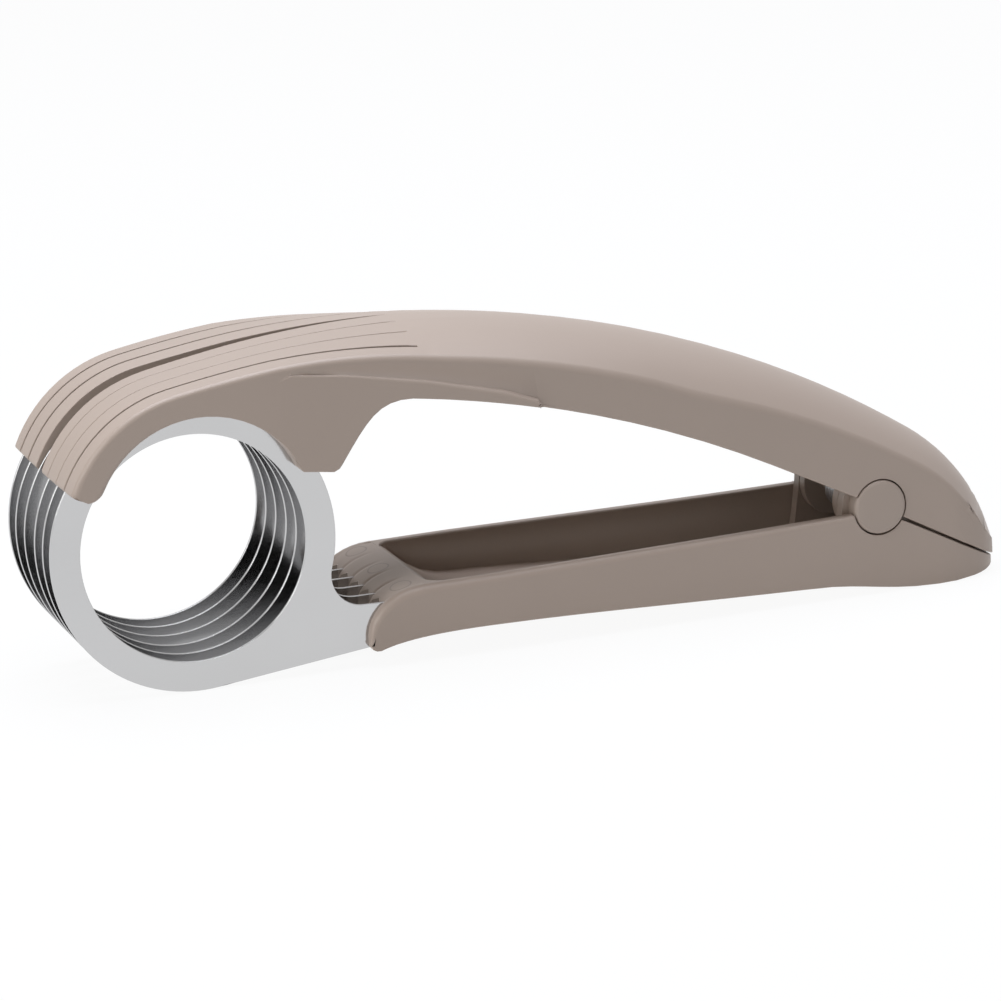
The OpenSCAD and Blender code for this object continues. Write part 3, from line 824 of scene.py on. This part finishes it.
arm = cell_solid("finger_arm", arm_point, (len(back_line) - 1, 2 * ring_count + 5, 2), arm_solid)
carve(arm, button_seats())
rib_front, rib_back = pivot[0] - 17.46, pivot[0] + lug_r
arch_height = follow([p for p, _ in back_line if p[0] > 40])
lug_outline = arc(pivot, lug_r, -206.7, 0, 28) + [
    (rib_back, arch_height(rib_back) - 4.4), ((rib_front + rib_back) / 2, arch_height(130.8) - 3.5),
    (rib_front, arch_height(rib_front) - 3.3), (rib_front, belly(rib_front) + 0.01)]
bar_t = 2
bar_low, bar_high = pivot[1] + 14.04, arch_height(rib_front) - 2.2
bar_outline = [(rib_front, bar_low), (rib_front + bar_t, bar_low), (rib_front + bar_t, bar_high),
               (rib_front, bar_high)]
add_shapes(arm, [(lug_outline, layer_2 - lug_t, layer_2), (bar_outline, lug_t - layer_2, layer_2 - lug_t)])


def arm_edge_share(edge):
    """Full rounding along the back's outer edges, a little below, and least inside the slits."""
    middle = (edge.verts[0].co + edge.verts[1].co) / 2
    x, z = middle.x * 1000 + 69, middle.z * 1000 - 27.2
    if math.hypot(x - pivot[0], z - pivot[1]) < button_r + 0.4:
        return 0.04, 0.3
    if x > 164.4:
        return 0.6, 0.45
    if abs(middle.y) * 1000 < arm_inside(x) + 0.3:
        return 0.16, 0.45
    outer = math.hypot(x - brow_c[0], z - brow_c[1]) > 26 if x < brow_c[0] else max(
        face.normal.z for face in edge.link_faces) > 0.5
    if outer:
        return min(1, max(0.04, (160.5 - x) / 9)), 0.9
    return 0.4 + 0.4 * min(1, max(0, (-14 - x) / 4)), 0.45


soften(arm, 1.1, 4, 35, arm_edge_share)
arm.data.materials.clear()
arm.data.materials.append(body_plastic)
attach(arm, "arm_body")
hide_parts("arm")

# ---- The hinge pin and its cap ----
# A plastic pin with a flat button head, pushed through both lugs into a cap with a like head.
# The heads sit in round seats, a hair proud of the walls.
pin_r = 2.5
button_edge = 0.8
head_out = hinge_half + 0.3
pin_plastic = plastic("pin plastic", (0.37, 0.298, 0.248))


def head_profile():
    """A button head with a rounded edge, from its middle out and down to its seat."""
    centre = (button_r - button_edge, head_out - button_edge)
    rim = [(centre[0] + button_edge * math.sin(a), centre[1] + button_edge * math.cos(a))
           for a in np.linspace(0, math.pi / 2, 7)]
    return [(0.6, head_out), (3.4, head_out)] + rim + [(button_r, layer_1)]


for name, node, side, far in (("hinge_pin", "pivot_pin", -1, -layer_1 - 2),
                              ("hinge_cap", "pin_cap", 1, layer_1 - 0.8)):
    piece = turned(name, pivot, head_profile() + [(pin_r, layer_1), (pin_r, far)], side, 96)
    piece.data.materials.append(pin_plastic)
    soften(piece, 0.05, 1, 60)
    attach(piece, "handle_body")
    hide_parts(node)

# ---- The return spring ----
# Six turns of hard-drawn steel wire around the pin; one leg lies on the handle's floor and the other
# lifts the arm by its cross bar.
wire_d = 1.1
coil_r = 3.45
leg_l = 21.0
turns = 6
arm_leg, floor_leg = 150.0, 203.7
coil_pitch = wire_d + 0.15
spring_wire = steel("spring wire", (0.50, 0.50, 0.51), 0.34)


def wire_tree():
    """Draws a round wire along a line of points."""
    tree = bpy.data.node_groups.new("wire along a line", "GeometryNodeTree")
    for label, kind in (("Line", "NodeSocketGeometry"), ("Radius", "NodeSocketFloat"),
                        ("Sides", "NodeSocketInt"), ("Finish", "NodeSocketMaterial")):
        tree.interface.new_socket(label, in_out="INPUT", socket_type=kind)
    tree.interface.new_socket("Wire", in_out="OUTPUT", socket_type="NodeSocketGeometry")
    start, end = tree.nodes.new("NodeGroupInput"), tree.nodes.new("NodeGroupOutput")
    line = tree.nodes.new("GeometryNodeMeshToCurve")
    ring = tree.nodes.new("GeometryNodeCurvePrimitiveCircle")
    tube = tree.nodes.new("GeometryNodeCurveToMesh")
    smooth = tree.nodes.new("GeometryNodeSetShadeSmooth")
    real = tree.nodes.new("GeometryNodeRealizeInstances")
    paint = tree.nodes.new("GeometryNodeSetMaterial")
    link = tree.links.new
    link(start.outputs["Line"], line.inputs["Mesh"])
    link(start.outputs["Radius"], ring.inputs["Radius"])
    link(start.outputs["Sides"], ring.inputs["Resolution"])
    link(line.outputs[0], tube.inputs["Curve"])
    link(ring.outputs[0], tube.inputs["Profile Curve"])
    tube.inputs["Fill Caps"].default_value = True
    link(tube.outputs[0], smooth.inputs["Geometry"])
    link(smooth.outputs[0], real.inputs[0])
    link(real.outputs[0], paint.inputs["Geometry"])
    link(start.outputs["Finish"], paint.inputs["Material"])
    link(paint.outputs[0], end.inputs[0])
    return tree


def wire_line():
    """Floor leg, coil and arm leg, as points about the pin."""
    begin = floor_leg + 90
    sweep = arm_leg - 90 + 360 * turns - begin
    half = coil_pitch * sweep / 720
    steps = round(sweep / 12)
    coil = []
    for n in range(steps + 1):
        a = math.radians(begin + sweep * n / steps)
        coil.append((coil_r * math.cos(a), -half + 2 * half * n / steps, coil_r * math.sin(a)))

    def leg(root, direction, length):
        a = math.radians(direction)
        return (root[0] + length * math.cos(a), root[1], root[2] + length * math.sin(a))

    lengths = (leg_l, leg_l * 0.75, leg_l * 0.5, leg_l * 0.25, 1.5)
    return ([leg(coil[0], floor_leg, n) for n in lengths] + coil
            + [leg(coil[-1], arm_leg, n) for n in reversed(lengths)])


line_mesh = bpy.data.meshes.new("wire line")
wire_points = [place(pivot[0] + x, y, pivot[1] + z) for x, y, z in wire_line()]
line_mesh.from_pydata(wire_points, [(n, n + 1) for n in range(len(wire_points) - 1)], [])
line = bpy.data.objects.new("wire line", line_mesh)
bpy.context.scene.collection.objects.link(line)
spring = grow(line, wire_tree(), "wire_spring", Radius=wire_d / 2000, Sides=14, Finish=spring_wire)
place(pivot[0], -2.0, pivot[1])
place(pivot[0], 3.4, pivot[1])
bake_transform(spring)
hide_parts("return_spring")

# ---- The table and the light ----
# A plain white table and soft light from a large lamp above and in front, with the room's own light.
# The table keeps the slicer's soft shadow.
paper = Finish("table")
ray = {name: paper.add("ShaderNodeLightPath", output=name)
       for name in ("Is Camera Ray", "Is Glossy Ray", "Is Transmission Ray")}
seen = paper.add("ShaderNodeMath", {"operation": "MAXIMUM"},
                 {0: ray["Is Camera Ray"], 1: ray["Is Glossy Ray"]})
seen = paper.add("ShaderNodeMath", {"operation": "MAXIMUM"}, {0: seen, 1: ray["Is Transmission Ray"]})
matt = paper.add("ShaderNodeBsdfDiffuse", {}, {"Color": (0.8, 0.8, 0.8, 1)})
white = paper.add("ShaderNodeEmission", {}, {"Color": (1, 1, 1, 1), "Strength": 1.0})
both = paper.add("ShaderNodeMixShader", {}, {0: seen * 0.6 + 0.33, 1: matt, 2: white})
paper.add("ShaderNodeOutputMaterial", {}, {"Surface": both})
bpy.ops.mesh.primitive_plane_add(size=6, location=(0, 0, -0.0001))
table = bpy.context.object
table.name = "table"
table.data.materials.append(paper.material)

world = bpy.data.worlds.new("room")
bpy.context.scene.world = world
world.use_nodes = True
nodes, links = world.node_tree.nodes, world.node_tree.links
glow = nodes["Background"]
glow.inputs["Color"].default_value = (1.0, 1.0, 1.0, 1)
glow.inputs["Strength"].default_value = 0.1
backdrop = nodes.new("ShaderNodeBackground")
backdrop.inputs["Strength"].default_value = 1.0
path = nodes.new("ShaderNodeLightPath")
shown = path.outputs["Is Camera Ray"]
for kind in ("Is Glossy Ray", "Is Transmission Ray"):
    either = nodes.new("ShaderNodeMath")
    either.operation = "MAXIMUM"
    links.new(shown, either.inputs[0])
    links.new(path.outputs[kind], either.inputs[1])
    shown = either.outputs[0]
room = nodes.new("ShaderNodeMixShader")
links.new(shown, room.inputs[0])
links.new(glow.outputs[0], room.inputs[1])
links.new(backdrop.outputs[0], room.inputs[2])
links.new(room.outputs[0], nodes["World Output"].inputs["Surface"])


def lamp(name, position, target, size, power, colour=(1, 1, 1)):
    data = bpy.data.lights.new(name, "AREA")
    data.color = colour
    data.shape, data.size, data.energy = "DISK", size, power
    light = bpy.data.objects.new(name, data)
    bpy.context.scene.collection.objects.link(light)
    light.matrix_world = Matrix.Translation(position) @ (
        Vector(position) - Vector(target)).to_track_quat("Z", "Y").to_matrix().to_4x4()


lamp("lamp above", (0.0, 0.1, 1.1), (0, 0, 0), 1.3, 17, (0.96, 1.0, 1.1))
lamp("lamp at the left", (-1.1, -0.35, 0.6), (0, 0, 0), 0.9, 7)

bpy.context.scene.view_settings.view_transform = "Standard"
